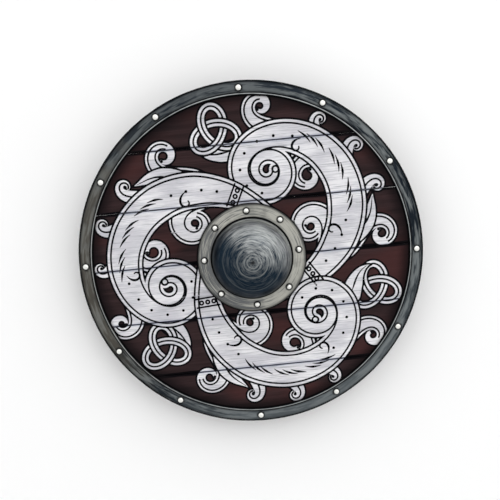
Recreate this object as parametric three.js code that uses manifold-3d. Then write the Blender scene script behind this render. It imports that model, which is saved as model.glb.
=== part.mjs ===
// A round wooden shield, lying on its back with its painted face up.
//
// Six boards make a flat disc. A steel channel bound round the edge and a spun
// steel boss over the hand hole are riveted through the wood. Behind the boards
// are a hand grip, which two of the boss rivets pass through, and two battens,
// all screwed on from behind. The shield rests on the battens.
//
// Millimetres, +Z up. The boards run along X, the grip and the battens along Y.
// The origin is under the shield's centre, on the surface that it lies on.

import * as THREE from 'three';
import { mergeVertices } from 'three/addons/utils/BufferGeometryUtils.js';
import Module from 'manifold-3d';

// Play between pieces that touch
const fit = 0.3;

// Boards
const shieldDiameter = 610;
const plankCount = 6;
const boardThickness = 12;
const plankGap = 0.8;
const seamChamfer = 0.9;
const handHoleDiameter = 118;

// Rim channel
const rimSheet = 1.5;
const rimFrontWidth = 24.5;
const rimBackWidth = 20;
const rimCorner = 4;
const rimCrown = 0.8;
const rimBeadWidth = 2.6;
const rimBeadHeight = 0.8;

// Boss
const bossFlangeDiameter = 191;
const bossDomeDiameter = 141;
const bossSheet = 2;
const bossHeight = 57;
const bossDomeFullness = 2.25;
const bossGrooveWidth = 1.8;
const bossGrooveDepth = 0.9;
const bossFlangeDish = 0.8;

// Rivets are spaced evenly, but for the small strays of hand work, in degrees
const rimRivetCount = 12;
const rimRivetTurn = -1.5;
const rimRivetStrays = [-0.8, 1.4, 1.8, 0.6, 0.1, -0.9, -1.1, 1.3, -0.5, -0.7, -2.0, 0.6];
const rimRivetHead = 10;
const bossRivetCount = 8;
const bossRivetTurn = 1.3;
const bossRivetStrays = [3.7, 2.5, 0.2, -1.1, -3.9, -2.2, -0.3, 0.2];
const bossRivetHead = 9;
const rivetHeadHeight = 2.9;
const rivetShank = 4;
const rivetTail = 7;
const rivetTailHeight = 1.2;

// Grip and battens
const battenThickness = 18;
const battenWidth = 44;
const battenSpacing = 300;
const battenEndGap = 4;
const gripThickness = 14.5;
const gripWidth = 42;
const gripWaist = 30;
const gripHandLength = 96;
const gripTaper = 22;
const gripEndGap = 36;
const woodEdge = 2.5;

// Countersunk screws of the grip and battens
const screwHead = 8;
const screwShank = 3.8;
const screwHeadDepth = 2.4;
const screwSunk = 0.4;
const screwBite = 8;
const screwEndGap = 14;
const screwSlotWidth = 1.1;
const screwSlotDepth = 1;

// Facets
const rimSegments = 56;
const rimCornerSteps = 2;
const rimCrownSteps = 2;
const bossSegments = 40;
const domeSteps = 6;
const bossShellSteps = 4;
const taperSteps = 3;
const rivetSides = 8;
const rivetHeadSteps = 2;

// Heights, from the surface that the shield lies on
const woodTopZ = battenThickness;
const backZ = woodTopZ + fit;
const faceZ = backZ + boardThickness;
const battenLow = woodTopZ - battenThickness;
const gripLow = woodTopZ - gripThickness;
const rimSkinZ = faceZ + fit + rimSheet;
const rimBackSkinZ = backZ - fit - rimSheet;
const flangeZ = faceZ + fit + bossSheet;
const apexZ = faceZ + bossHeight;
// Past every piece, so that a cut comes out clean on both sides
const cutLow = -boardThickness;
const cutHigh = apexZ + boardThickness;

// Radii
const shieldRadius = shieldDiameter / 2;
const boardRadius = shieldRadius - rimCorner - fit;
const plankPitch = (2 * boardRadius) / plankCount;
const rimFrontInner = shieldRadius - rimFrontWidth;
const rimBackInner = shieldRadius - rimBackWidth;
const rimBandInner = rimFrontInner + rimBeadWidth;
const rimBandOuter = shieldRadius - rimCorner;
const rimRivetRadius = (rimBandInner + rimBandOuter) / 2;
const bossRadius = bossFlangeDiameter / 2;
const domeRadius = bossDomeDiameter / 2;
const bossGrooveRadius = domeRadius + bossGrooveWidth;
const bossRivetRadius = (bossRadius + bossGrooveRadius) / 2;

const wasm = await Module();
wasm.setup();

const stainedWood = new THREE.MeshStandardMaterial({ color: 0x3a2424, roughness: 0.6, metalness: 0 });
const darkWood = new THREE.MeshStandardMaterial({ color: 0x4a3020, roughness: 0.7, metalness: 0 });
const rimSteel = new THREE.MeshStandardMaterial({ color: 0x565b60, roughness: 0.45, metalness: 1 });
const bossSteel = new THREE.MeshStandardMaterial({ color: 0x6c7074, roughness: 0.4, metalness: 1 });
const rivetSteel = new THREE.MeshStandardMaterial({ color: 0xd0d2cc, roughness: 0.3, metalness: 1 });
const screwSteel = new THREE.MeshStandardMaterial({ color: 0x8a8a86, roughness: 0.4, metalness: 1 });

// Solids

function solid(geometry) {
  const bare = new THREE.BufferGeometry();
  bare.setAttribute('position', geometry.getAttribute('position'));
  bare.setIndex(geometry.getIndex());
  const merged = mergeVertices(bare);
  const corners = merged.getIndex().array;
  const kept = [];
  for (let i = 0; i < corners.length; i += 3) {
    const [a, b, c] = [corners[i], corners[i + 1], corners[i + 2]];
    // The poles of a turned shape leave triangles with no area
    if (a !== b && b !== c && c !== a) kept.push(a, b, c);
  }
  return new wasm.Manifold(new wasm.Mesh({
    numProp: 3,
    vertProperties: new Float32Array(merged.getAttribute('position').array),
    triVerts: new Uint32Array(kept),
  }));
}

function piece(name, manifold, finish) {
  const made = manifold.getMesh();
  const geometry = new THREE.BufferGeometry();
  geometry.setAttribute('position', new THREE.BufferAttribute(new Float32Array(made.vertProperties), 3));
  geometry.setIndex(new THREE.BufferAttribute(new Uint32Array(made.triVerts), 1));
  geometry.computeVertexNormals();
  const mesh = new THREE.Mesh(geometry, finish);
  mesh.name = name;
  return mesh;
}

// The profile's [radius, height] pairs go counter-clockwise, with the radius to the right
function turned(profile, segments) {
  const points = profile.map(([r, z]) => new THREE.Vector2(Math.max(r, 0), z));
  return new THREE.LatheGeometry(points, segments).rotateX(Math.PI / 2);
}

function cylinder(radius, low, high, segments) {
  return turned([[0, low], [radius, low], [radius, high], [0, high]], segments);
}

// Points along a curve round (r, z), from one angle in degrees to another. With a fullness
// of 2 the curve is an ellipse, and above that it is squarer.
function arc(r, z, radiusR, radiusZ, from, to, steps, fullness = 2) {
  return Array.from({ length: steps + 1 }, (_, i) => {
    const angle = THREE.MathUtils.degToRad(from + ((to - from) * i) / steps);
    const [across, up] = [Math.cos(angle), Math.sin(angle)];
    return [
      r + radiusR * Math.sign(across) * Math.abs(across) ** (2 / fullness),
      z + radiusZ * Math.sign(up) * Math.abs(up) ** (2 / fullness),
    ];
  });
}

function ringSpots(radius, count, turn, strays) {
  return Array.from({ length: count }, (_, i) => {
    const angle = THREE.MathUtils.degToRad((360 * i) / count + turn + strays[i % strays.length]);
    return [radius * Math.cos(angle), radius * Math.sin(angle)];
  });
}

function drilled(body, spots, hole) {
  return spots.reduce((left, [x, y]) => left.subtract(solid(hole.clone().translate(x, y, 0))), body);
}

function placed(mesh, [x, y]) {
  mesh.position.set(x, y, 0);
  return mesh;
}

// Where the shield is fastened

const rimRivetSpots = ringSpots(rimRivetRadius, rimRivetCount, rimRivetTurn, rimRivetStrays);
const bossRivetSpots = ringSpots(bossRivetRadius, bossRivetCount, bossRivetTurn, bossRivetStrays);

const battenOut = battenSpacing / 2 + battenWidth / 2;
const battenHalf = Math.sqrt(rimBackInner ** 2 - battenOut ** 2) - battenEndGap;
const gripHalf = Math.sqrt(rimBackInner ** 2 - (gripWidth / 2) ** 2) - gripEndGap;

// One screw for each plank, at its middle or as near to that as the bar's ends allow
function screwPlaces(half) {
  const reach = half - screwEndGap;
  return Array.from({ length: plankCount }, (_, i) => {
    const middle = -boardRadius + plankPitch * (i + 0.5);
    return Math.max(-reach, Math.min(reach, middle));
  });
}

function onGrip([x, y]) {
  return Math.abs(x) < gripWidth / 2 && Math.abs(y) < gripHalf;
}

const gripRivetSpots = bossRivetSpots.filter(onGrip);
const gripScrewSpots = screwPlaces(gripHalf)
  .filter((y) => Math.abs(y) > bossRadius + screwHead)
  .map((y) => [0, y]);

const battens = [
  { name: 'batten_left', x: -battenSpacing / 2 },
  { name: 'batten_right', x: battenSpacing / 2 },
];
for (const batten of battens) {
  batten.spots = screwPlaces(battenHalf).map((y) => [batten.x, y]);
}

// Rivets and screws

function rivet(head, tailZ, headZ) {
  const tail = rivetTail / 2;
  const shank = rivetShank / 2;
  return solid(turned([
    [0, tailZ - rivetTailHeight],
    [tail, tailZ],
    [shank, tailZ],
    [shank, headZ],
    ...arc(0, headZ, head / 2, rivetHeadHeight, 0, 90, rivetHeadSteps),
  ], rivetSides));
}

const rivetHole = cylinder(rivetShank / 2 + fit, cutLow, cutHigh, rivetSides);

// From the edge of the sunk head, in an underside at the height low, up to the point
function screwProfile(low, play) {
  const headLow = low + screwSunk;
  const shank = screwShank / 2 + play;
  const tip = backZ + screwBite + play;
  return [
    [screwHead / 2 + play, headLow],
    [shank, headLow + screwHeadDepth],
    [shank, tip],
    [0, tip + shank],
  ];
}

function screw(low) {
  const headLow = low + screwSunk;
  const slot = new THREE.BoxGeometry(2 * screwHead, screwSlotWidth, 2 * screwSlotDepth);
  slot.translate(0, 0, headLow);
  const body = turned([[0, headLow], ...screwProfile(low, 0)], rivetSides);
  return solid(body).subtract(solid(slot));
}

function screwHole(low) {
  const profile = screwProfile(low, fit);
  const [[mouth]] = profile;
  return turned([[0, cutLow], [mouth, cutLow], ...profile], rivetSides);
}

// Boards

function plankBlank(index) {
  const last = plankCount - 1;
  const low = -boardRadius + plankPitch * index + (index > 0 ? plankGap / 2 : 0);
  const high = -boardRadius + plankPitch * (index + 1) - (index < last ? plankGap / 2 : 0);
  const section = new THREE.Shape([
    new THREE.Vector2(low, backZ),
    new THREE.Vector2(high, backZ),
    new THREE.Vector2(high, faceZ - seamChamfer),
    new THREE.Vector2(high - seamChamfer, faceZ),
    new THREE.Vector2(low + seamChamfer, faceZ),
    new THREE.Vector2(low, faceZ - seamChamfer),
  ]);
  const blank = new THREE.ExtrudeGeometry(section, { depth: shieldDiameter, bevelEnabled: false });
  blank.translate(0, 0, -shieldRadius);
  // The section's x and y are the shield's Y and Z
  blank.applyMatrix4(new THREE.Matrix4().makeBasis(
    new THREE.Vector3(0, 1, 0),
    new THREE.Vector3(0, 0, 1),
    new THREE.Vector3(1, 0, 0),
  ));
  return solid(blank);
}

function planks() {
  const round = solid(cylinder(boardRadius, cutLow, cutHigh, rimSegments));
  const handHole = solid(cylinder(handHoleDiameter / 2, cutLow, cutHigh, bossSegments));
  return Array.from({ length: plankCount }, (_, i) => {
    let board = plankBlank(i).intersect(round).subtract(handHole);
    board = drilled(board, [...rimRivetSpots, ...bossRivetSpots], rivetHole);
    board = drilled(board, gripScrewSpots, screwHole(gripLow));
    board = drilled(board, battens.flatMap(({ spots }) => spots), screwHole(battenLow));
    return piece(`plank_${i + 1}`, board, stainedWood);
  });
}

// Rim

function rimProfile() {
  const bandMiddle = (rimBandInner + rimBandOuter) / 2;
  const bandHalf = (rimBandOuter - rimBandInner) / 2;
  const insideCorner = rimCorner - rimSheet;
  const frontBendZ = rimSkinZ - rimCorner;
  const backBendZ = rimBackSkinZ + rimCorner;
  const start = [rimFrontInner, faceZ + fit];
  return [
    start,
    ...arc(rimBandOuter, frontBendZ, insideCorner, insideCorner, 90, 0, 1),
    ...arc(rimBandOuter, backBendZ, insideCorner, insideCorner, 0, -90, 1),
    [rimBackInner, backZ - fit],
    [rimBackInner, rimBackSkinZ],
    ...arc(rimBandOuter, backBendZ, rimCorner, rimCorner, -90, 0, rimCornerSteps),
    ...arc(rimBandOuter, frontBendZ, rimCorner, rimCorner, 0, 90, rimCornerSteps),
    ...arc(bandMiddle, rimSkinZ, bandHalf, rimCrown, 0, 180, rimCrownSteps).slice(1),
    [rimFrontInner + rimBeadWidth * 0.6, rimSkinZ + rimBeadHeight],
    [rimFrontInner, rimSkinZ + rimBeadHeight * 0.3],
    start,
  ];
}

function rim() {
  const channel = solid(turned(rimProfile(), rimSegments));
  return piece('rim_band', drilled(channel, rimRivetSpots, rivetHole), rimSteel);
}

// Boss

function bossProfile() {
  const grooveZ = flangeZ - bossGrooveDepth;
  const innerZ = faceZ + fit;
  const innerRadius = domeRadius - bossSheet;
  const innerHeight = apexZ - bossSheet - innerZ;
  return [
    ...arc(0, innerZ, innerRadius, innerHeight, 90, 0, bossShellSteps, bossDomeFullness),
    [bossRadius, innerZ],
    [bossRadius, flangeZ - bossSheet * 0.4],
    [bossRadius - bossSheet * 0.5, flangeZ],
    [bossGrooveRadius, flangeZ + bossFlangeDish],
    [bossGrooveRadius, grooveZ],
    ...arc(0, grooveZ, domeRadius, apexZ - grooveZ, 0, 90, domeSteps, bossDomeFullness),
  ];
}

function boss() {
  const shell = solid(turned(bossProfile(), bossSegments));
  return piece('boss', drilled(shell, bossRivetSpots, rivetHole), bossSteel);
}

// Grip and battens, flat bars with the edges of their undersides eased

function bar(outline, low) {
  const blank = new THREE.ExtrudeGeometry(new THREE.Shape(outline), {
    depth: woodTopZ - low - woodEdge,
    bevelSegments: 2,
    bevelSize: woodEdge,
    bevelThickness: woodEdge,
    bevelOffset: -woodEdge,
  });
  blank.translate(0, 0, low + woodEdge);
  // The upper edges are left square, against the boards
  const sawn = new THREE.BoxGeometry(shieldDiameter, shieldDiameter, 4 * woodEdge);
  sawn.translate(0, 0, woodTopZ + 2 * woodEdge);
  return solid(blank).subtract(solid(sawn));
}

// The grip is waisted for the hand, between two full-width ends
function gripOutline() {
  const end = gripWidth / 2;
  const waist = gripWaist / 2;
  const quarter = [[end, gripHalf]];
  for (let i = taperSteps; i >= 0; i -= 1) {
    const share = THREE.MathUtils.smoothstep(i / taperSteps, 0, 1);
    quarter.push([waist + (end - waist) * share, gripHandLength / 2 + (gripTaper * i) / taperSteps]);
  }
  const side = [...quarter, ...quarter.toReversed().map(([x, y]) => [x, -y])];
  const outline = [...side.toReversed(), ...side.map(([x, y]) => [-x, y])];
  return outline.map(([x, y]) => new THREE.Vector2(x, y));
}

function grip() {
  let body = drilled(bar(gripOutline(), gripLow), gripRivetSpots, rivetHole);
  body = drilled(body, gripScrewSpots, screwHole(gripLow));
  return piece('grip', body, darkWood);
}

function batten({ name, x, spots }) {
  const half = battenWidth / 2;
  const outline = [
    new THREE.Vector2(x - half, -battenHalf),
    new THREE.Vector2(x + half, -battenHalf),
    new THREE.Vector2(x + half, battenHalf),
    new THREE.Vector2(x - half, battenHalf),
  ];
  return piece(name, drilled(bar(outline, battenLow), spots, screwHole(battenLow)), darkWood);
}

// The whole shield

const shield = new THREE.Group();
shield.add(...planks(), rim(), boss(), grip(), ...battens.map(batten));

rimRivetSpots.forEach((spot, i) => {
  const body = rivet(rimRivetHead, rimBackSkinZ - fit, rimSkinZ + rimCrown + fit);
  shield.add(placed(piece(`rim_rivet_${String(i + 1).padStart(2, '0')}`, body, rivetSteel), spot));
});

bossRivetSpots.forEach((spot, i) => {
  const tailZ = onGrip(spot) ? gripLow - fit : backZ - fit;
  const body = rivet(bossRivetHead, tailZ, flangeZ + bossFlangeDish + fit);
  shield.add(placed(piece(`boss_rivet_${i + 1}`, body, rivetSteel), spot));
});

gripScrewSpots.forEach((spot, i) => {
  shield.add(placed(piece(`grip_screw_${i + 1}`, screw(gripLow), screwSteel), spot));
});

for (const { name, spots } of battens) {
  spots.forEach((spot, i) => {
    shield.add(placed(piece(`${name}_screw_${i + 1}`, screw(battenLow), screwSteel), spot));
  });
}

export default shield;
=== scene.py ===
"""A round wooden shield, lying on its back with its painted face up.

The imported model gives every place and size. Each of its pieces is made again here
with a fine surface and its own finish: six stained boards with a painted design, a
steel rim, a spun steel boss, domed rivets, a grip, two battens and their screws.
"""

import math

import bmesh
import bpy
import numpy as np
from mathutils import Matrix, Vector


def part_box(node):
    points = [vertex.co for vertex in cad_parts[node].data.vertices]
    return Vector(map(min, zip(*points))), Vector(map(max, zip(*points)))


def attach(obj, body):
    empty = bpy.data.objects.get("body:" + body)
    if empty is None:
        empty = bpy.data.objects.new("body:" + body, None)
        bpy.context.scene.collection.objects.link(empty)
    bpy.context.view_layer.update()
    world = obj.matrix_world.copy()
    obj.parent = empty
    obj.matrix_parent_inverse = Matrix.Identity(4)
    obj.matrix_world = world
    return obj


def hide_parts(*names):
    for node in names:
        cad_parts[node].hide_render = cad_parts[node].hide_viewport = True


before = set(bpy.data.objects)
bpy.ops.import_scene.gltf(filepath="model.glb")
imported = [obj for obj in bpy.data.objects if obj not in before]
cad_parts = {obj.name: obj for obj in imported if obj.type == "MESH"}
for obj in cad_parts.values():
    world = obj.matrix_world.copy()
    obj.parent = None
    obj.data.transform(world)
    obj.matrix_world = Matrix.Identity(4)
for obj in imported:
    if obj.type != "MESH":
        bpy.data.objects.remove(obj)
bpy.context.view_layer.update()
boxes = {node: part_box(node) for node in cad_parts}

MM = 0.001

# Boards
HAND_HOLE = 59 * MM
BOARD_COUNT = 6
BOARD_EDGE = 1.1 * MM
BOARD_GRAIN_STEP = 1.1 * MM
BOARD_BACK_STEP = 9 * MM
BOARD_CUP = 0.25 * MM
BOARD_STEP = 0.3 * MM
BOARD_RIPPLE = 0.05 * MM
BOARD_END_GAP = 0.05 * MM
FRONT_DEPTH = 3 * MM

# Rim channel and its bead
RIM_SHEET = 1.5 * MM
RIM_FRONT = 24.5 * MM
RIM_BACK = 20 * MM
RIM_CORNER = 4 * MM
RIM_CROWN = 0.8 * MM
BEAD_WIDTH = 2.6 * MM
BEAD_HEIGHT = 0.75 * MM
BEAD_LIFT = 0.3 * MM
BEAD_GROOVE = 1.0 * MM
RIM_WAVE = 0.16 * MM
RIM_STEPS = 540

# Boss
BOSS_SHEET = 2 * MM
DOME_RADIUS = 70.5 * MM
DOME_FULLNESS = 2.25
GROOVE_WIDTH = 1.8 * MM
GROOVE_DEPTH = 0.9 * MM
FLANGE_DISH = 0.8 * MM
FLANGE_LIP = 1.0 * MM
DEEPEST_MARK = 0.16 * MM
SPIN_MARKS = [(9.2 * MM, 1.0), (14.4 * MM, 0.875), (26 * MM, 0.75), (50 * MM, 0.3125)]
DOME_RIPPLE = 0.03 * MM
DIMPLE = 2.6 * MM
DIMPLE_DEPTH = 0.5 * MM
BOSS_STEPS = 360

# Rivets and screws
RIVET_SHANK = 2 * MM
RIVET_TAIL = 3.5 * MM
TAIL_LIFT = 1.2 * MM
HEAD_HEIGHT = 2.9 * MM
HEAD_EDGE = 0.3 * MM
RIVET_STEPS = 40
SCREW_HEAD = 4 * MM
SCREW_SHANK = 1.9 * MM
SCREW_SUNK = 0.4 * MM
SCREW_HEAD_DEPTH = 2.4 * MM
SCREW_SLOT = 1.1 * MM
SLOT_DEPTH = 1 * MM
SCREW_PLAY = 0.25 * MM

# Grip and battens
WOOD_EDGE = 2.5 * MM
GRIP_WAIST = 30 * MM
GRIP_HAND = 96 * MM
GRIP_TAPER = 22 * MM
GRIP_HAND_EDGE = 6 * MM
GRIP_HELD = 42 * MM
BAR_STEP = 4 * MM
BAR_CORNER_STEPS = 6

# Painted design, in millimetres from the shield's centre
OUTLINE = 3.3
INSET_LINE = 3.1
VINE_INSET = 7.5
CURL_INSET = 6.0
DOT = 2.6
COLLAR_RING = 3.2
COIL_RING = 5.5
COLLAR = 0.085
DOTS = (0.13, 0.165, 0.20, 0.235, 0.49, 0.53, 0.57, 0.61, 0.65, 0.69, 0.73)
FEATHER_CUTS = (0.255, 0.275, 0.295, 0.33, 0.35, 0.37, 0.405, 0.425, 0.445)
KNOT_ANGLE = -41
KNOT_RADIUS = 228
KNOT_SIZE = 43
KNOT_TURN = 164
KNOT_STRAP = 14.5
ARMS = 3
FIRST_ARM = 22
BRUSH_STEP = 3
OUTSIDE = -20.0

# Camera and light, in metres from the middle of the painted face
LOOK_AT = Vector((-0.0021, 0.0144, 0))
CAMERA_AWAY = Vector((-0.0079, 0.1375, 0.9003))
CAMERA_LENS = 37.08
BOARD_SLANT = math.radians(5.526)
SKY = 0.93
SKY_LEAN = 0.28
SKY_HEADING = 15
LOW_SKY = 6.7
HIGH_SKY = 0.15
SKY_FALL = 2.4


# Shapes

def arc(centre, radii, start, end, steps, fullness=2.0):
    """Radius and height pairs round a centre, between two angles in degrees."""
    angle = np.radians(np.linspace(start, end, steps + 1))
    across, up = np.cos(angle), np.sin(angle)
    power = 2 / fullness
    return np.column_stack([
        centre[0] + radii[0] * np.sign(across) * np.abs(across) ** power,
        centre[1] + radii[1] * np.sign(up) * np.abs(up) ** power,
    ])


def line(start, end, step):
    """Points from one place to another, no further apart than a step."""
    start, end = np.asarray(start, float), np.asarray(end, float)
    steps = max(1, math.ceil(np.linalg.norm(end - start) / step))
    return start + (end - start) * np.linspace(0, 1, steps + 1)[:, None]


def sway(place, length, seed, waves=6):
    """A smooth wandering value from -1 to 1 along a place, about one turn in each length."""
    random = np.random.default_rng(seed)
    pace = random.uniform(0.5, 2.2, waves)
    start = random.uniform(0, 2 * math.pi, waves)
    swing = np.sin(np.multiply.outer(place, 2 * math.pi * pace / length) + start)
    return swing.sum(-1) / waves * 1.6


def ring_sway(angle, most, seed, waves=7):
    """The same round a ring, with up to so many turns in the round."""
    random = np.random.default_rng(seed)
    pace = random.integers(1, most, waves)
    start = random.uniform(0, 2 * math.pi, waves)
    return np.sin(np.multiply.outer(angle, pace) + start).sum(-1) / waves * 1.6


def spun(profile, steps):
    """The points and faces of a profile of radius and height, turned round the Z axis.
    The profile goes counter-clockwise with the radius to the right, and closes on itself."""
    angle = np.linspace(0, 2 * math.pi, steps, endpoint=False)
    radius, height = np.asarray(profile).T
    points = np.stack([
        np.outer(np.cos(angle), radius),
        np.outer(np.sin(angle), radius),
        np.tile(height, (steps, 1)),
    ], -1).reshape(-1, 3)
    rows = len(profile)
    here = np.arange(steps)[:, None] * rows
    after = (np.arange(steps)[:, None] + 1) % steps * rows
    low, high = np.arange(rows), (np.arange(rows) + 1) % rows
    faces = np.stack([here + low, after + low, after + high, here + high], -1).reshape(-1, 4)
    return points, faces


def lofted(sections):
    """The points and faces of a bar through closed sections of as many points each."""
    count = len(sections[0])
    points = np.vstack(sections)
    here = np.arange(len(sections) - 1)[:, None] * count
    low, high = np.arange(count), (np.arange(count) + 1) % count
    faces = np.stack([here + low, here + high, here + count + high, here + count + low], -1)
    faces = [list(map(int, face)) for face in faces.reshape(-1, 4)]
    faces.append(list(range(count - 1, -1, -1)))
    faces.append(list(range(len(points) - count, len(points))))
    return points, faces


def solid(name, points, faces):
    """An object of closed mesh, with doubled points joined and its faces turned outwards."""
    mesh = bpy.data.meshes.new(name)
    mesh.from_pydata(np.asarray(points).tolist(), [], [list(map(int, face)) for face in faces])
    shape = bmesh.new()
    shape.from_mesh(mesh)
    bmesh.ops.remove_doubles(shape, verts=shape.verts, dist=1e-7)
    bmesh.ops.recalc_face_normals(shape, faces=shape.faces)
    shape.to_mesh(mesh)
    shape.free()
    made = bpy.data.objects.new(name, mesh)
    bpy.context.scene.collection.objects.link(made)
    return made


def piece(name, points, faces, finish, node, crease=35):
    """A finished piece that stands for a CAD node and rides on the shield's one body."""
    made = solid(name, points, faces)
    made.data.polygons.foreach_set("use_smooth", np.ones(len(made.data.polygons), bool))
    made.data.set_sharp_from_angle(angle=math.radians(crease))
    made.data.materials.append(finish)
    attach(made, "root")
    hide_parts(node)
    return made


def places(made):
    """A piece's points, one row each."""
    points = np.empty(len(made.data.vertices) * 3, np.float32)
    made.data.vertices.foreach_get("co", points)
    return points.reshape(-1, 3)


def mark(made, **marks):
    """Keeps named numbers for each point of a piece, for its material to read."""
    for name, values in marks.items():
        layer = made.data.attributes.new(name, "FLOAT", "POINT")
        layer.data.foreach_set("value", np.asarray(values, np.float32))


def middle(node):
    """The centre of a node, seen from above."""
    low, high = boxes[node]
    return np.array([(low.x + high.x) / 2, (low.y + high.y) / 2])


def nodes_named(start):
    return sorted(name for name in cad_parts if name.startswith(start))


# Brush work

def spot(angle, radius):
    """The place at an angle in degrees and a radius."""
    turn = math.radians(angle)
    return np.array([radius * math.cos(turn), radius * math.sin(turn)])


def turned(path, angle):
    """A path of x, y, width rows, turned round the centre."""
    turn = math.radians(angle)
    spin = np.array([[math.cos(turn), math.sin(turn)], [-math.sin(turn), math.cos(turn)]])
    return np.column_stack([path[:, :2] @ spin, path[:, 2]])


def heading_at(path, row):
    """Which way a path goes at one of its rows, in degrees."""
    ahead = path[min(row + 1, len(path) - 1), :2] - path[max(row - 1, 0), :2]
    return math.degrees(math.atan2(ahead[1], ahead[0]))


def grown(start, heading, length, bends, widths):
    """Rows of x, y and width along a shoot. Its bends, in degrees for each millimetre, and
    its widths are spread evenly from its root to its tip."""
    steps = math.ceil(length / BRUSH_STEP)
    share = np.linspace(0, 1, steps + 1)
    bend = np.interp(share, np.linspace(0, 1, len(bends)), bends)
    turn = np.radians(heading + np.concatenate([[0], np.cumsum(bend[:-1])]) * length / steps)
    strides = np.column_stack([np.cos(turn[:-1]), np.sin(turn[:-1])]) * length / steps
    run = np.vstack([[0, 0], np.cumsum(strides, axis=0)])
    return np.column_stack([start + run, np.interp(share, np.linspace(0, 1, len(widths)), widths)])


def sprout(path, share, lean, length, bends, widths):
    """A shoot that leaves another path some way along it, leaning from it by some degrees."""
    row = round(share * (len(path) - 1))
    return grown(path[row, :2], heading_at(path, row) + lean, length, bends, widths)


def trefoil(centre, size, turn, width, points=90, lap=8):
    """A strap in three loops, and the three runs of it that pass over."""
    t = np.linspace(0, 2 * math.pi, points + 1)
    loops = np.column_stack([np.sin(t) + 2 * np.sin(2 * t), np.cos(t) - 2 * np.cos(2 * t)]) * size / 3
    path = turned(np.column_stack([loops, np.full(points + 1, width)]), turn)
    path[:, :2] += centre
    crossings = [points // 4 + points // 3 * k for k in range(3)]
    return path, [path[row - lap:row + lap + 1] for row in crossings]


class BrushWork:
    """White shapes and black lines as signed distances at every point, above zero inside."""

    def __init__(self, x, y):
        self.x = x.astype(np.float32)
        self.y = y.astype(np.float32)
        self.white = np.full(len(x), OUTSIDE, np.float32)
        self.black = np.full(len(x), OUTSIDE, np.float32)

    def around(self, path, reach=8.0, run=10):
        """Which points are near a path, how far inside it, its half width there, and the side."""
        path = path.astype(np.float32)
        out = np.full(len(self.x), 1e6, np.float32)
        half = np.zeros(len(self.x), np.float32)
        side = np.zeros(len(self.x), np.float32)
        past_end = np.zeros(len(self.x), bool)
        final = len(path) - 2
        touched = [np.zeros(0, int)]
        for first in range(0, final + 1, run):
            part = path[first:first + run + 1]
            pad = part[:, 2].max() / 2 + reach
            low, high = part[:, :2].min(0) - pad, part[:, :2].max(0) + pad
            near = np.flatnonzero((self.x > low[0]) & (self.x < high[0])
                                  & (self.y > low[1]) & (self.y < high[1]))
            touched.append(near)
            x, y = self.x[near], self.y[near]
            for k in range(first, min(first + run, final + 1)):
                (ax, ay, aw), (bx, by, bw) = path[k], path[k + 1]
                sx, sy = bx - ax, by - ay
                length = sx * sx + sy * sy
                if length < 1e-8:
                    continue
                share = ((x - ax) * sx + (y - ay) * sy) / length
                beyond = ((share < 0) & (k == 0)) | ((share > 1) & (k == final))
                share = np.clip(share, 0, 1)
                dx, dy = x - ax - share * sx, y - ay - share * sy
                width = (aw + share * (bw - aw)) / 2
                distance = np.sqrt(dx * dx + dy * dy) - width
                closer = distance < out[near]
                ids = near[closer]
                out[ids] = distance[closer]
                half[ids] = width[closer]
                side[ids] = np.sign(sx * dy - sy * dx)[closer]
                past_end[ids] = beyond[closer]
        ids = np.unique(np.concatenate(touched))
        ids = ids[out[ids] < reach]
        return ids, -out[ids], half[ids], side[ids], past_end[ids]

    def line(self, ids, inside):
        self.black[ids] = np.maximum(self.black[ids], inside)

    def shape(self, ids, inside):
        """White paint over what is there, with a black outline."""
        self.black[ids] = np.minimum(self.black[ids], -inside)
        self.white[ids] = np.maximum(self.white[ids], inside)
        self.line(ids, OUTLINE / 2 - np.abs(inside))

    def ribbon(self, path, inset=0.0, sides=(1, -1), core=0.0, cut_ends=False):
        """A white band with a line beside its edges, or one along its middle."""
        ids, inside, half, side, past_end = self.around(path)
        if cut_ends:
            kept = ~past_end
            ids, inside, half, side = ids[kept], inside[kept], half[kept], side[kept]
        self.shape(ids, inside)
        if inset:
            lined = (half > inset + INSET_LINE) & np.isin(side, sides)
            self.line(ids[lined], INSET_LINE / 2 - np.abs(inside[lined] - inset))
        if core:
            self.line(ids, core / 2 - half + inside)

    def stroke(self, path):
        ids, inside, *_ = self.around(path)
        self.line(ids, inside)

    def near(self, place, reach):
        """Which points are near a place, and how far they are from it."""
        away = np.hypot(self.x - place[0], self.y - place[1])
        ids = np.flatnonzero(away < reach)
        return ids, away[ids]

    def dot(self, place, radius=DOT):
        ids, away = self.near(place, radius + 3)
        self.line(ids, radius - away)

    def ring(self, place, radius):
        ids, away = self.near(place, radius + 5)
        self.line(ids, INSET_LINE / 2 - np.abs(away - radius))

    def vein(self, leaf):
        """A stroke down the middle of a leaf, thin at both ends."""
        rows = leaf[len(leaf) // 3:-3].copy()
        rows[:, 2] = np.interp(np.linspace(0, 1, len(rows)), (0, 0.3, 1), (1, 3.6, 1))
        self.stroke(rows)

    def collar(self, path, share, half_width=8):
        """Two lines across a stem, with three rings between them."""
        row = round(share * (len(path) - 1))
        centre, width = path[row, :2], path[row, 2]
        ahead = spot(heading_at(path, row), 1)
        across = np.array([-ahead[1], ahead[0]]) * (width / 2 - OUTLINE)
        for place in (centre - ahead * half_width, centre + ahead * half_width):
            ends = np.vstack([place - across, place + across])
            self.stroke(np.column_stack([ends, [INSET_LINE, INSET_LINE]]))
        for side in (-0.55, 0, 0.55):
            self.ring(centre + across * side, COLLAR_RING)


def vine_path():
    """The main stem of an arm: out from under the boss, swelling, and into a coil near the rim."""
    bends = (0.05, 0.30, 0.40, 0.42, 0.46, 0.50, 0.66, 1.28, 1.42, 1.8, 2.5, 3.8)
    return grown(spot(-78, 84), 2, 760, bends, (26, 48, 64, 70, 68, 62, 52, 44, 41, 36, 31, 25))


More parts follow.
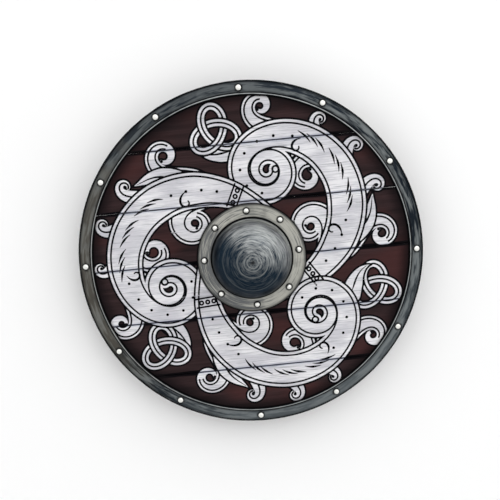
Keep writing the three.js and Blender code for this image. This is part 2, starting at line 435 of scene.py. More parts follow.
def curl_paths(vine):
    """Broad shoots that roll up, to the rim's side and to the boss's side of the stem."""
    return [
        sprout(vine, 0.15, -66, 200, (2.2, 1.0, -0.5, -2.0, -3.0, -3.9, -6), (32, 32, 31, 28, 23, 17, 9)),
        sprout(vine, 0.50, -28, 158, (0.9, 0.1, -2.0, -3.0, -4.4, -7.5), (28, 33, 30, 24, 16, 8)),
        sprout(vine, 0.135, 66, 235, (-2.4, 0.7, 2.0, 2.3, 2.8, 4.0, 6), (28, 36, 36, 31, 25, 17, 9)),
        sprout(vine, 0.30, 30, 200, (-0.6, 0.4, 1.8, 2.4, 3.4, 5), (28, 34, 32, 26, 18, 9)),
        sprout(vine, 0.43, 40, 120, (-0.5, 1.0, 3.2, 5, 7), (24, 26, 22, 15, 8)),
    ]


def hook_paths(vine):
    """Small shoots between the stem and the rim."""
    return [
        sprout(vine, 0.27, -64, 102, (0.9, 1.0, -1.8, -6.5, -9), (22, 25, 24, 16, 8)),
        sprout(vine, 0.345, -60, 92, (0.9, 1.0, -2.2, -7, -10), (22, 25, 23, 15, 8)),
        sprout(vine, 0.42, -54, 82, (0.9, 0.9, -2.6, -8, -11), (22, 24, 21, 14, 7)),
    ]


def leaf_paths(vine):
    """Pointed leaves: one behind the first curl and two beside the knot."""
    return [
        sprout(vine, 0.19, -52, 112, (0.6, 0.9, 1.0, -1.4), (26, 38, 32, 18, 1)),
        sprout(vine, 0.60, -48, 92, (0.6, 0.2, -1.2, -2.6), (24, 38, 31, 17, 1)),
        sprout(vine, 0.67, -44, 74, (0.4, -0.2, -1.2, -2.4), (22, 34, 26, 14, 1)),
    ]


def cut_paths(vine):
    """Short strokes on the stem: slanting feather cuts, and two that hook round."""
    cuts = [sprout(vine, share, -30, 30, (1.2, 1.2, -1.0), (1, 4.2, 1)) for share in FEATHER_CUTS]
    cuts.append(sprout(vine, 0.20, 26, 50, (2, 4, 8, 12), (1, 4.4, 4.0, 2.4)))
    cuts.append(sprout(vine, 0.47, 30, 44, (2, 5, 9, 14), (1, 4.4, 3.8, 2.4)))
    return cuts


def paint_design(work):
    """Three arms alike: first what lies behind in each, then the stems over all, then their marks."""
    vine = vine_path()
    curls, hooks, leaves, cuts = curl_paths(vine), hook_paths(vine), leaf_paths(vine), cut_paths(vine)
    knot, overs = trefoil(spot(KNOT_ANGLE, KNOT_RADIUS), KNOT_SIZE, KNOT_TURN, KNOT_STRAP)
    arms = [FIRST_ARM + 360 / ARMS * k for k in range(ARMS)]
    for arm in arms:
        work.ribbon(turned(knot, arm), core=INSET_LINE)
        for over in overs:
            work.ribbon(turned(over, arm), core=INSET_LINE, cut_ends=True)
        for curl in reversed(curls):
            work.ribbon(turned(curl, arm), inset=CURL_INSET)
            work.dot(turned(curl, arm)[-1, :2])
        for hook in reversed(hooks):
            work.ribbon(turned(hook, arm), core=INSET_LINE)
        for leaf in reversed(leaves):
            work.ribbon(turned(leaf, arm))
            work.vein(turned(leaf, arm))
    stems = [turned(vine, arm) for arm in arms]
    for stem in stems:
        work.ribbon(stem, inset=VINE_INSET)
    for arm, stem in zip(arms, stems):
        work.collar(stem, COLLAR)
        work.ring(stem[-1, :2], COIL_RING)
        for share in DOTS:
            work.dot(stem[round(share * (len(stem) - 1)), :2])
        for cut in cuts:
            work.stroke(turned(cut, arm))


# Node trees

class Value:
    """What a shader node puts out. A sum or a product of values is written as one."""

    def __init__(self, socket):
        self.socket = socket
        self.tree = socket.id_data

    def calc(self, operation, *others):
        return add(self.tree, "Math", dict(enumerate([self, *others])), operation=operation)[0]

    def __add__(self, other):
        return self.calc("ADD", other)

    def __sub__(self, other):
        return self.calc("SUBTRACT", other)

    def __rsub__(self, other):
        return add(self.tree, "Math", {0: other, 1: self}, operation="SUBTRACT")[0]

    def __mul__(self, other):
        return self.calc("MULTIPLY", other)

    def clamped(self):
        """The value kept from zero to one."""
        return add(self.tree, "Clamp", {0: self})[0]


def outputs_of(node):
    """A node's outputs, under their names and their numbers."""
    values = {}
    for number, socket in enumerate(node.outputs):
        values[number] = values[socket.name] = Value(socket)
    return values


def connect(socket, value):
    """Gives a socket what another node puts out, or a value of its own."""
    if isinstance(value, Value):
        value.tree.links.new(value.socket, socket)
    else:
        socket.default_value = value


def feed(sockets, **values):
    """Connects sockets by name, with an underscore for a space."""
    for name, value in values.items():
        connect(sockets[name.replace("_", " ")], value)


def add(tree, kind, sockets=None, **settings):
    """Adds a shader node, connects its sockets and gives its outputs."""
    made = tree.nodes.new("ShaderNode" + kind)
    for name, value in settings.items():
        setattr(made, name, value)
    for key, value in (sockets or {}).items():
        connect(made.inputs[key], value)
    return outputs_of(made)


def placed(tree, group, **sockets):
    """A node group placed in a material, with its own values."""
    made = tree.nodes.new("ShaderNodeGroup")
    made.node_tree = group
    feed(made.inputs, **sockets)
    return outputs_of(made)


def vector_calc(operation, *vectors):
    """A vector node's outputs, named Vector and Value."""
    return add(vectors[0].tree, "VectorMath", dict(enumerate(vectors)), operation=operation)


def vector_of(x, y, z=0.0):
    return add(x.tree, "CombineXYZ", {0: x, 1: y, 2: z})[0]


def between(value, low, high, out_low=0.0, out_high=1.0):
    """A value eased from one range into another."""
    sockets = {"Value": value, "From Min": low, "From Max": high, "To Min": out_low, "To Max": out_high}
    return add(value.tree, "MapRange", sockets, interpolation_type="SMOOTHSTEP")["Result"]


def seen(red, green, blue):
    """A colour as the eye sees it, from 0 to 255, in the renderer's own terms."""
    def open_up(value):
        value /= 255
        return value / 12.92 if value <= 0.04045 else ((value + 0.055) / 1.055) ** 2.4
    return (open_up(red), open_up(green), open_up(blue), 1.0)


def blended(share, first, second):
    return add(share.tree, "Mix", {0: share, 6: first, 7: second}, data_type="RGBA")[2]


def layered(colour, *coats):
    """A colour under several coats, each a share and a colour as the eye sees it."""
    for share, coat in coats:
        colour = blended(share, colour, seen(*coat))
    return colour


def noise(vector, scale=1.0, detail=3.0, roughness=0.5, distortion=0.0):
    sockets = {"Vector": vector, "Scale": scale, "Detail": detail, "Roughness": roughness,
               "Distortion": distortion}
    return add(vector.tree, "TexNoise", sockets)[0]


def stretched(vector, *scale):
    return vector_calc("MULTIPLY", vector, scale)["Vector"]


def marked(tree, name):
    return add(tree, "Attribute", attribute_name=name)["Fac"]


def surface_place(tree):
    return add(tree, "TexCoord")["Object"]


def bumped(height, distance, strength, **under):
    sockets = {"Height": height, "Distance": distance, "Strength": strength, **under}
    return add(height.tree, "Bump", sockets)[0]


def effect(name, inputs, outputs):
    """An empty node group with named sockets, and its two ends. A socket named Place is a
    vector, one named Colour is a colour, and the others are values."""
    kinds = {"Place": "Vector", "Colour": "Color"}
    group = bpy.data.node_groups.new(name, "ShaderNodeTree")
    for label, value in inputs.items():
        kind = "NodeSocket" + kinds.get(label, "Float")
        socket = group.interface.new_socket(label, in_out="INPUT", socket_type=kind)
        if value is not None:
            socket.default_value = value
    for label in outputs:
        kind = "NodeSocket" + kinds.get(label, "Float")
        group.interface.new_socket(label, in_out="OUTPUT", socket_type=kind)
    entry = outputs_of(group.nodes.new("NodeGroupInput"))
    leave = group.nodes.new("NodeGroupOutput").inputs
    return group, entry, leave


def wood_grain_effect():
    """Fibres and growth bands along X."""
    group, entry, leave = effect("Wood grain", {"Place": None, "Board": 0.0, "Coarseness": 1.0},
                                 ["Bands", "Fibres", "Pores"])
    shift = vector_of(entry["Board"] * 3.7, 0.0, entry["Board"] * 1.3)
    place = vector_calc("ADD", entry["Place"], shift)["Vector"]
    scaled = add(group, "VectorMath", {0: place, "Scale": entry["Coarseness"]}, operation="SCALE")[0]
    bands = noise(stretched(scaled, 3, 55, 55), 1.0, 4, 0.55, 0.6)
    fibres = noise(stretched(scaled, 14, 620, 300), 1.0, 3, 0.6, 0.2)
    pores = noise(stretched(scaled, 60, 1500, 600), 1.0, 2)
    feed(leave, Bands=between(bands, 0.3, 0.7), Fibres=between(fibres, 0.3, 0.7),
         Pores=between(pores, 0.58, 0.75))
    return group


def heading_from_middle(place):
    """Which way a place lies from the shield's middle, one long, and how far it is."""
    flat = stretched(place, 1, 1, 0)
    return vector_calc("NORMALIZE", flat)["Vector"], vector_calc("LENGTH", flat)["Value"]


def round_brushing_effect():
    """Streaks that run round the shield's middle, as a lathe or a belt leaves them."""
    group, entry, leave = effect("Round brushing", {"Place": None, "Fineness": 450.0, "Length": 6.0},
                                 ["Streaks", "Broad streaks"])
    heading, radius = heading_from_middle(entry["Place"])
    parts = add(group, "SeparateXYZ", {0: heading})

    def streaks(share, seed):
        along = entry["Length"] * (0.5 + share)
        across = radius * entry["Fineness"] * share + seed
        return noise(vector_of(parts["X"] * along, parts["Y"] * along, across), roughness=0.6)

    feed(leave, Streaks=between(streaks(1.0, 0.0), 0.34, 0.66),
         Broad_streaks=between(streaks(0.35, 40.0), 0.36, 0.64))
    return group


def painted_side_light_effect():
    """How far a place lies towards one heading from the shield's middle, in degrees, for painting one
    side of a piece lighter or darker as light falls on it.
    """
    group, entry, leave = effect("Painted side light", {"Place": None, "Heading": 0.0, "From": -0.5, "To": 0.5},
                                 ["Mask"])
    heading, _ = heading_from_middle(entry["Place"])
    turn = entry["Heading"].calc("RADIANS")
    lean = vector_calc("DOT_PRODUCT", heading, vector_of(turn.calc("COSINE"), turn.calc("SINE")))["Value"]
    wander = noise(entry["Place"], 28.0) - 0.5
    feed(leave, Mask=between(lean + wander * 0.7, entry["From"], entry["To"]))
    return group


def tarnish_effect():
    """Cloudy patches, with specks in them."""
    group, entry, leave = effect("Tarnish", {"Place": None, "Size": 30.0, "Amount": 0.5},
                                 ["Clouds", "Specks"])
    clouds = noise(entry["Place"], entry["Size"], 6, 0.6, 0.4)
    low = 0.72 - entry["Amount"] * 0.4
    specks = noise(entry["Place"], entry["Size"] * 14.0, 3, 0.6)
    feed(leave, Clouds=between(clouds, low, low + 0.22), Specks=between(specks, 0.56, 0.7))
    return group


def edge_wear_and_highlight_effect():
    """An edge mark, broken up by the surface's own unevenness: rubbed wear on wood, a painted highlight
    on steel.
    """
    group, entry, leave = effect("Edge wear and highlight", {"Place": None, "Edge": 0.0, "Reach": 0.5, "Size": 90.0},
                                 ["Mask"])
    uneven = noise(entry["Place"], entry["Size"], 4, 0.6) - 0.5
    low = 1.0 - entry["Reach"]
    feed(leave, Mask=between(entry["Edge"] + uneven * 1.2, low, low + 0.35))
    return group


def shade_and_dirt_effect():
    """Dirt and painted shade over steel, dark and dull and no metal."""
    group, entry, leave = effect("Dirt", {"Colour": None, "Roughness": 0.5, "Dirt": 0.0},
                                 ["Colour", "Roughness", "Metal"])
    feed(leave, Colour=layered(entry["Colour"], (entry["Dirt"], (10, 12, 15))),
         Roughness=entry["Roughness"].calc("MAXIMUM", entry["Dirt"] * 0.85),
         Metal=(1.0 - entry["Dirt"]).clamped())
    return group


wood_grain = wood_grain_effect()
round_brushing = round_brushing_effect()
painted_side_light = painted_side_light_effect()
tarnish = tarnish_effect()
edge_wear_and_highlight = edge_wear_and_highlight_effect()
shade_and_dirt = shade_and_dirt_effect()


# Finishes

def new_finish(name, specular=0.5):
    """A material with an empty tree, and its shader's sockets."""
    finish = bpy.data.materials.new(name)
    finish.use_nodes = True
    tree = finish.node_tree
    tree.nodes.clear()
    shader = tree.nodes.new("ShaderNodeBsdfPrincipled")
    shader.inputs["Specular IOR Level"].default_value = specular
    out = tree.nodes.new("ShaderNodeOutputMaterial")
    tree.links.new(shader.outputs[0], out.inputs["Surface"])
    return finish, tree, shader.inputs


def painted_board_finish():
    finish, tree, shader = new_finish("Stained and painted boards", specular=0.03)
    place = surface_place(tree)
    grain = placed(tree, wood_grain, Place=place, Board=marked(tree, "board"))
    seam, bound, hub = [marked(tree, name) for name in ("seam", "bound", "hub")]
    red = noise(stretched(place, 5, 14, 5))
    seam_sway = noise(stretched(place, 16, 60, 60))
    worn = noise(stretched(place, 22, 240, 60), 1.0, 5, 0.65)
    thick = noise(stretched(place, 9, 30, 20), 1.0, 4, 0.6)
    ragged = (noise(stretched(place, 160, 420, 300), roughness=0.6) - 0.5) * 1.1

    # Stained wood, darker in the fibres and towards the seams, with painted shade towards the rim
    stain = layered(
        blended(grain["Bands"], seen(40, 31, 32), seen(61, 45, 46)),
        (grain["Fibres"] * 0.45, (36, 28, 29)),
        (between(red, 0.48, 0.68, 0, 0.6), (74, 43, 42)),
        (between(seam - seam_sway * 4.0, 0.8, 2.8, 1.0, 0), (7, 6, 9)),
        (between(bound, 2, 26, 0.8, 0), (19, 16, 18)),
    )

    # White paint, thin over the fibres, darker and bluer by the seams, with painted shade by the rim,
    # worn through in places
    paint = layered(
        blended(between(thick, 0.4, 0.62), seen(204, 203, 209), seen(232, 231, 234)),
        (between(grain["Fibres"] * worn, 0.2, 0.55, 0, 0.8), (168, 169, 175)),
        (between(worn, 0.6, 0.76, 0, 0.5), (132, 134, 142)),
        (between(seam, 0.8, 4.5, 0.45, 0), (150, 160, 180)),
        (between(seam - seam_sway, 0.0, 0.8, 0.9, 0), (38, 43, 62)),
        (between(bound, 0, 9, 0.5, 0), (110, 106, 108)),
    )
    white = between(marked(tree, "white") + ragged, -0.35, 0.35)
    bare = grain["Pores"] * between(worn, 0.55, 0.7)
    cover = white * (1.0 - bare * 0.7)

    # Black lines over both, and painted shadow in the corners by the rim and the boss
    black = between(marked(tree, "black") + ragged * 0.6, -0.3, 0.3)
    colour = layered(
        blended(cover, stain, paint),
        (black * between(worn, 0.66, 0.84, 1, 0.7), (6, 6, 9)),
        (between(bound, 1.0, 4.0, 1.0, 0), (6, 6, 8)),
        (between(hub, 0.6, 3.4, 1.0, 0), (6, 6, 8)),
    )
    rough = between(grain["Fibres"], 0, 1, 0.5, 0.64) - cover * 0.04
    fibres = bumped(grain["Fibres"] - grain["Pores"], 0.12 * MM, 0.5)
    skin = bumped(white * 0.5 + black * 0.25, 0.15 * MM, 0.6, Normal=fibres)
    feed(shader, Base_Color=colour, Roughness=rough, Normal=skin)
    return finish


def bar_wood_finish(name, light, dark, polish):
    """Plain wood with its grain along Y, rubbed smooth where a hand holds it."""
    finish, tree, shader = new_finish(name)
    parts = add(tree, "SeparateXYZ", {0: surface_place(tree)})
    along = vector_of(parts["Y"], parts["X"], parts["Z"])
    grain = placed(tree, wood_grain, Place=along, Coarseness=0.8, Board=2.0)
    stains = placed(tree, tarnish, Place=along, Size=22.0, Amount=0.45)
    edge = placed(tree, edge_wear_and_highlight, Place=along, Edge=marked(tree, "edge"), Reach=0.45)
    held = marked(tree, "held")
    colour = layered(
        blended(grain["Bands"], seen(*dark), seen(*light)),
        (grain["Fibres"] * 0.4, dark),
        (stains["Clouds"] * 0.35, (45, 32, 26)),
        (edge["Mask"] * 0.35, (168, 132, 98)),
        (held * 0.4, (70, 44, 28)),
    )
    feed(shader, Base_Color=colour, Roughness=between(held, 0, 1, 0.66, polish),
         Normal=bumped(grain["Fibres"] - grain["Pores"], 0.15 * MM, 0.5))
    return finish


def steel_under_shade_and_dirt(tree, shader, colour, rough, normal):
    # Its mark holds soiling and painted shade alike
    steel = placed(tree, shade_and_dirt, Colour=colour, Roughness=rough, Dirt=marked(tree, "grime"))
    feed(shader, Base_Color=steel["Colour"], Roughness=steel["Roughness"], Metallic=steel["Metal"],
         Normal=normal)


def rim_finish():
    finish, tree, shader = new_finish("Blackened rim steel", specular=0.15)
    place = surface_place(tree)
    brush = placed(tree, round_brushing, Place=place, Fineness=290.0, Length=5.5)
    cloud = placed(tree, tarnish, Place=place, Size=20.0, Amount=0.5)
    edge = placed(tree, edge_wear_and_highlight, Place=place, Edge=marked(tree, "edge"), Reach=0.55, Size=60.0)
    warmer_painted_side = placed(tree, painted_side_light, Place=place, Heading=180.0, From=0.55, To=1.05)
    lighter_painted_side = placed(tree, painted_side_light, Place=place, Heading=292.0, From=0.4, To=1.0)
    darker_painted_side = placed(tree, painted_side_light, Place=place, Heading=112.0, From=0.5, To=1.0)

    # Brushed along its length between blue-black and grey, and painted near black as shade off the band,
    # on the rounded outer corner and in the groove by the bead
    shade = brush["Broad streaks"] * 0.55 + brush["Streaks"] * 0.45
    colour = layered(
        blended(between(shade, 0.2, 0.8), seen(30, 36, 43), seen(117, 122, 123)),
        (cloud["Clouds"] * 0.5, (44, 50, 58)),
        # Painted light and shade by side: darker to one side, lighter to another, lighter and warmer to a
        # third
        (darker_painted_side["Mask"] * 0.5, (52, 57, 62)),
        (lighter_painted_side["Mask"] * 0.45, (128, 135, 138)),
        (warmer_painted_side["Mask"] * 0.45, (120, 114, 102)),
        (between(marked(tree, "band"), 0, 1, 0.94, 0), (10, 13, 16)),
        # A painted highlight along the bead and the outer corner
        (edge["Mask"] * 0.8, (182, 186, 186)),
    )
    rough = between(brush["Streaks"], 0, 1, 0.36, 0.52) + cloud["Clouds"] * 0.1
    height = brush["Streaks"] - cloud["Specks"] * 0.4
    steel_under_shade_and_dirt(tree, shader, colour, rough, bumped(height, 0.05 * MM, 0.4))
    return finish


def boss_finish():
    finish, tree, shader = new_finish("Spun boss steel", specular=0.15)
    place = surface_place(tree)
    brush = placed(tree, round_brushing, Place=place, Fineness=620.0, Length=1.6)
    cloud = placed(tree, tarnish, Place=place, Size=16.0, Amount=0.45)
    edge = placed(tree, edge_wear_and_highlight, Place=place, Edge=marked(tree, "edge"), Reach=0.5, Size=70.0)
    flange_light_side = placed(tree, painted_side_light, Place=place, Heading=24.0, From=-0.75, To=0.1)
    dome_highlight_side = placed(tree, painted_side_light, Place=place, Heading=57.0, From=-0.1, To=0.95)
    rings = brush["Streaks"] * 0.7 + brush["Broad streaks"] * 0.3 - 0.5

    # The flange, painted lighter on one side and darker on the other, and painted dark as shade on its
    # turned edge
    lit = (flange_light_side["Mask"] + rings * 1.9).clamped()
    flange = layered(
        blended(lit, seen(106, 108, 109), seen(182, 181, 173)),
        (cloud["Clouds"] * 0.4, (88, 88, 83)),
        (marked(tree, "lip"), (48, 49, 48)),
    )

    # The dome, blued dark but for one side painted bright as a highlight, and evenly worn at its top
    crown = marked(tree, "crown")
    highlight_share = between(crown, 0, 1, 0.46, 0.1) + marked(tree, "shoulder") * 0.34
    # worn holds the crown's wear and the painted highlight alike
    worn = crown * 0.21 + dome_highlight_side["Mask"] * highlight_share
    worn = (worn + rings * between(worn, 0.0, 0.45, 0.22, 0.85)).clamped()
    dome = layered(
        blended(worn, seen(25, 40, 53), seen(184, 187, 186)),
        (marked(tree, "turned") * 0.5, (172, 176, 174)),
    )
    colour = layered(
        blended(marked(tree, "dome"), flange, dome),
        (cloud["Clouds"] * 0.22, (62, 68, 76)),
        # A painted highlight along the flange's edge by the groove
        (edge["Mask"] * 0.3, (190, 190, 186)),
    )
    rough = between(brush["Streaks"], 0, 1, 0.34, 0.5)
    height = brush["Streaks"] + brush["Broad streaks"] * 0.5
    steel_under_shade_and_dirt(tree, shader, colour, rough, bumped(height, 0.06 * MM, 0.5))
    feed(shader, Anisotropic=0.5, Tangent=add(tree, "Tangent", direction_type="RADIAL", axis="Z")[0])
    return finish


def bright_steel_finish(name, bright, dull, smoothest):
    """Rivet and screw steel, bright on top, with painted shade low on the rivet heads and the screws
    dirty in their hollows.
    """
    finish, tree, shader = new_finish(name, specular=0.15)
    place = surface_place(tree)
    cloud = placed(tree, tarnish, Place=place, Size=260.0, Amount=0.5)
    scuffs = noise(stretched(place, 400, 2600, 1200), roughness=0.6)
    colour = blended(cloud["Clouds"] * 0.5, seen(*bright), seen(*dull))
    rough = between(scuffs, 0.3, 0.7, smoothest, smoothest + 0.18)
    steel_under_shade_and_dirt(tree, shader, colour, rough, bumped(scuffs, 0.05 * MM, 0.4))
    return finish


painted_boards = painted_board_finish()
rim_steel = rim_finish()
boss_steel = boss_finish()
rivet_steel = bright_steel_finish("Bright rivet steel", (250, 250, 245), (198, 200, 198), 0.24)
screw_steel = bright_steel_finish("Plated screw steel", (190, 188, 178), (126, 122, 112), 0.3)
grip_wood = bar_wood_finish("Oiled grip wood", (142, 100, 66), (92, 60, 38), 0.34)
batten_wood = bar_wood_finish("Stained batten wood", (122, 90, 62), (84, 58, 40), 0.55)


# Boards

board_radius = boxes["plank_3"][1].x
rim_low, rim_high = boxes["rim_band"]
boss_low, boss_high = boxes["boss"]
shield_radius = rim_high.x
rim_inner = shield_radius - RIM_FRONT


def chord(radius, y):
    return np.sqrt(np.maximum(radius ** 2 - y ** 2, 0))


def board_levels(near, far, step, marks=()):
    """Distances from the middle, across a board, and how far each lies below the flat.
    Both long edges are rounded; marks are levels that the rows have to meet."""
    turn = np.radians([0, 30, 60, 90])
    inset = BOARD_EDGE * (1 - np.cos(turn))
    drop = BOARD_EDGE * (1 - np.sin(turn))
    flat = line((near + BOARD_EDGE, 0), (far - BOARD_EDGE, 0), step)[1:-1, 0]
    kept = [level for level in marks if near + BOARD_EDGE < level < far - BOARD_EDGE]
    flat = np.union1d(flat, kept)
    levels = np.concatenate([near + inset, flat, far - inset[::-1]])
    return levels, np.concatenate([drop, np.zeros(len(flat)), drop[::-1]])


def board_sheet(levels, heights, step):
    """One face of a board, cut round by the rim circle and the hand hole.
    Its edges come with it: the two long ones in halves, the two ends, and the hole's sides."""
    outer, inner = chord(board_radius, levels), chord(HAND_HOLE, levels)
    columns = math.ceil(board_radius / step)
    share = np.linspace(0, 1, columns + 1)
    right = inner[:, None] + (outer - inner)[:, None] * share
    x = np.hstack([-right[:, ::-1], right])
    y = np.broadcast_to(levels[:, None], x.shape)
    z = heights(x, y)
    ids = np.arange(x.size).reshape(x.shape)
    whole = inner == 0
    ids[whole, columns + 1] = ids[whole, columns]
    quads = np.stack([ids[:-1, :-1], ids[:-1, 1:], ids[1:, 1:], ids[1:, :-1]], -1)
    quads = np.delete(quads, columns, axis=1).reshape(-1, 4)
    edges = [ids[:, 0], ids[:, -1]]
    for row in (0, -1):
        edges += [ids[row, :columns + 1], ids[row, columns + 1:]]
    hole_rows = np.flatnonzero(~whole)
    if len(hole_rows):
        rows = np.arange(max(hole_rows[0] - 1, 0), min(hole_rows[-1] + 2, len(levels)))
        edges += [ids[rows, columns], ids[rows, columns + 1]]
    return np.stack([x, y, z], -1).reshape(-1, 3), quads, edges


def joined(first, second, points):
    """Triangles between two runs of points that start and end together."""
    def shares(ids):
        gaps = np.linalg.norm(np.diff(points[ids], axis=0), axis=1)
        run = np.concatenate([[0], np.cumsum(gaps)])
        return run / max(run[-1], 1e-12)

    ahead, behind = shares(first), shares(second)
    faces = []
    i = j = 0
    while i < len(first) - 1 or j < len(second) - 1:
        if j == len(second) - 1 or (i < len(first) - 1 and ahead[i + 1] <= behind[j + 1]):
            faces.append([first[i], first[i + 1], second[j]])
            i += 1
        else:
            faces.append([first[i], second[j + 1], second[j]])
            j += 1
    return faces


def board(index):
    node = f"plank_{index + 1}"
    low, high = boxes[node]
    # The outer boards' rounded ends stop just short of a point
    reach = board_radius - BOARD_END_GAP
    near, far = max(low.y, -reach), min(high.y, reach)
    centre, half = (low.y + high.y) / 2, (high.y - low.y) / 2
    sunk = BOARD_STEP * np.random.default_rng(40 + index).uniform(0, 1)
    levels, drops = board_levels(near, far, BOARD_GRAIN_STEP, (-HAND_HOLE, HAND_HOLE))
    hole_marks = HAND_HOLE * np.sin(np.radians(np.arange(-90, 91, 5)))
    back_levels, back_drops = board_levels(near, far, BOARD_BACK_STEP, hole_marks)

    def front_heights(x, y):
        cup = BOARD_CUP * ((y - centre) / half) ** 2
        ripple = BOARD_RIPPLE * (1 + sway(y + 0.2 * sway(x, 0.4, index) * half, 0.011, 7 + index))
        return high.z - sunk - cup - ripple - drops[:, None]

    def back_heights(x, y):
        return low.z + np.broadcast_to(back_drops[:, None], x.shape)

    points, quads, edges = board_sheet(levels, front_heights, BOARD_GRAIN_STEP)
    back_points, back_quads, back_edges = board_sheet(back_levels, back_heights, BOARD_BACK_STEP)
    shift = len(points)
    points = np.vstack([points, back_points])
    faces = quads.tolist() + (back_quads[:, ::-1] + shift).tolist()
    for edge, back_edge in zip(edges, back_edges):
        faces += joined(edge, back_edge + shift, points)
    made = piece(f"board_{index + 1}", points, faces, painted_boards, node)
    x, y, z = places(made).T
    radius, front = np.hypot(x, y), z > high.z - FRONT_DEPTH
    steel_edge = np.where(front, rim_inner, shield_radius - RIM_BACK)
    mark(made, seam=np.minimum(y - low.y, high.y - y) / MM,
         bound=(steel_edge - radius) / MM,
         hub=np.where(front, radius - boss_high.x, shield_radius) / MM,
         board=np.full(len(x), float(index)))
    return made


def paint_boards(boards):
    """Draws the design over all the boards at once, on their front faces alone."""
    points = [places(made) for made in boards]
    x, y, z = np.vstack(points).T
    work = BrushWork(x / MM, y / MM)
    paint_design(work)
    behind = z < boxes["plank_1"][1].z - FRONT_DEPTH
    work.white[behind] = OUTSIDE
    work.black[behind] = OUTSIDE
    splits = np.cumsum([len(part) for part in points])[:-1]
    for made, white, black in zip(boards, np.split(work.white, splits), np.split(work.black, splits)):
        mark(made, white=white, black=black)


# Steel

def nearness(distance, reach):
    """One at no distance, falling to nothing past the reach."""
    return np.exp(-(distance / reach) ** 2)


def rivet_contact_shadow(x, y, nodes, head):
    """A painted contact shadow in the corner round each rivet head."""
    away = np.min([np.hypot(x - cx, y - cy) for cx, cy in map(middle, nodes)], axis=0)
    return np.clip(1.9 - np.maximum(away - head, 0) / (1.5 * MM), 0, 1)


def rim():
    skin = rim_high.z - RIM_CROWN
    seat = skin - RIM_SHEET
    back_seat = rim_low.z + RIM_SHEET
    inside = RIM_CORNER - RIM_SHEET
    outer = shield_radius - RIM_CORNER
    back_inner = shield_radius - RIM_BACK
    bead = rim_inner + BEAD_WIDTH / 2
    band_inner = rim_inner + BEAD_WIDTH + BEAD_GROOVE
    band, half_band = (outer + band_inner) / 2, (outer - band_inner) / 2
    side_front, side_back = skin - RIM_CORNER, rim_low.z + RIM_CORNER
    profile = np.vstack([
        line((rim_inner, seat), (outer, seat), 4 * MM)[:-1],
        arc((outer, side_front), (inside, inside), 90, 0, 4),
        arc((outer, side_back), (inside, inside), 0, -90, 4),
        line((outer, back_seat), (back_inner, back_seat), 4 * MM)[1:],
        line((back_inner, rim_low.z), (outer, rim_low.z), 2 * MM)[:-1],
        arc((outer, side_back), (RIM_CORNER, RIM_CORNER), -90, 0, 7),
        line((shield_radius, side_back), (shield_radius, side_front), 2 * MM)[1:-1],
        arc((outer, side_front), (RIM_CORNER, RIM_CORNER), 0, 90, 7),
        arc((band, skin), (half_band, RIM_CROWN), 0, 180, 16)[1:],
        [(band_inner, skin - BEAD_LIFT), (rim_inner + BEAD_WIDTH, skin - BEAD_LIFT)],
        arc((bead, skin), (BEAD_WIDTH / 2, BEAD_HEIGHT), 0, 180, 8),
    ])
    points, faces = spun(profile, RIM_STEPS)
    # Hammered on by hand: its surface sinks and wanders a little
    angle = np.arctan2(points[:, 1], points[:, 0])
    dent = RIM_WAVE * (0.5 + 0.5 * ring_sway(angle, 46, 3))
    inward = 1 - RIM_WAVE * (1 + ring_sway(angle, 23, 5)) / shield_radius
    points[:, :2] *= inward[:, None]
    points[:, 2] -= np.where(points[:, 2] > skin - 0.5 * MM, dent, 0)
    made = piece("rim_channel", points, faces, rim_steel, "rim_band", crease=50)
    x, y, z = places(made).T
    radius, upper = np.hypot(x, y), z > skin - 1.2 * MM
    # Marks for the finish: a painted highlight on the bead and the outer corner, painted shade off the
    # band, the groove darkened, and painted contact shadow round each rivet
    bead_shine = nearness(radius - bead, 0.9 * MM) * upper
    corner_shine = 0.225 * nearness(radius - (shield_radius - 1.2 * MM), 1.6 * MM)
    on_band = 1 - (np.abs(radius - band) / (half_band + 1.0 * MM)) ** 3
    groove = 0.9 * nearness(radius - (band_inner - BEAD_GROOVE / 2), 0.8 * MM)
    grime = np.maximum(groove, rivet_contact_shadow(x, y, nodes_named("rim_rivet"), 5 * MM)) * upper
    mark(made, edge=np.maximum(bead_shine, corner_shine),
         band=np.clip(np.maximum(on_band, bead_shine), 0, 1), grime=grime)


